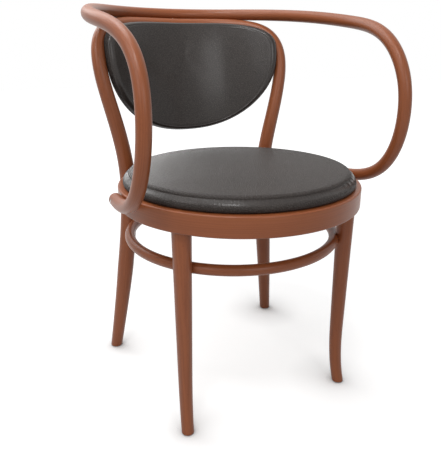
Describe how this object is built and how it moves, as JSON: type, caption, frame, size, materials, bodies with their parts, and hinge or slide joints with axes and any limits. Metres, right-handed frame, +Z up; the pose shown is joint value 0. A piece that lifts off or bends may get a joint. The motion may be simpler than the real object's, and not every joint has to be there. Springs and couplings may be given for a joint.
{
  "type": "bentwood armchair",
  "caption": "Bentwood armchair: bent round rods for legs, back hoop, arms and stretcher ring, round padded seat and curved padded back panel.",
  "frame": {"origin": "on the floor, under the middle of the chair's length and width", "axes": "+Z up, the chair faces -Y, +X to the right of a viewer who stands in front of it"},
  "size_m": [0.5497, 0.5753, 0.7659],
  "materials": {
    "beech": "red-brown stained beech, satin lacquer",
    "plywood": "bare plywood",
    "foam": "soft foam",
    "leather": "fine-grained dark grey leather, soft sheen",
    "steel": "zinc-plated steel",
    "nylon": "matt nylon"
  },
  "bodies": {
    "root": {"seat_ring": "beech", "seat_board": "plywood", "seat_foam": "foam", "seat_cover": "leather", "front_leg_left": "beech", "front_leg_right": "beech", "back_hoop": "beech", "arm_rail": "beech", "stretcher_ring": "beech", "back_pad": "leather", "back_core": "plywood", "back_cover": "leather", "rear_leg_bolts": "steel", "rear_leg_nuts": "steel", "arm_screws": "steel", "rail_screws": "steel", "panel_screws": "steel", "panel_spacers": "nylon", "seat_board_screws": "steel", "stretcher_screws": "steel", "tenon_screws": "steel", "foot_glides": "nylon"}
  },
  "joints": []
}
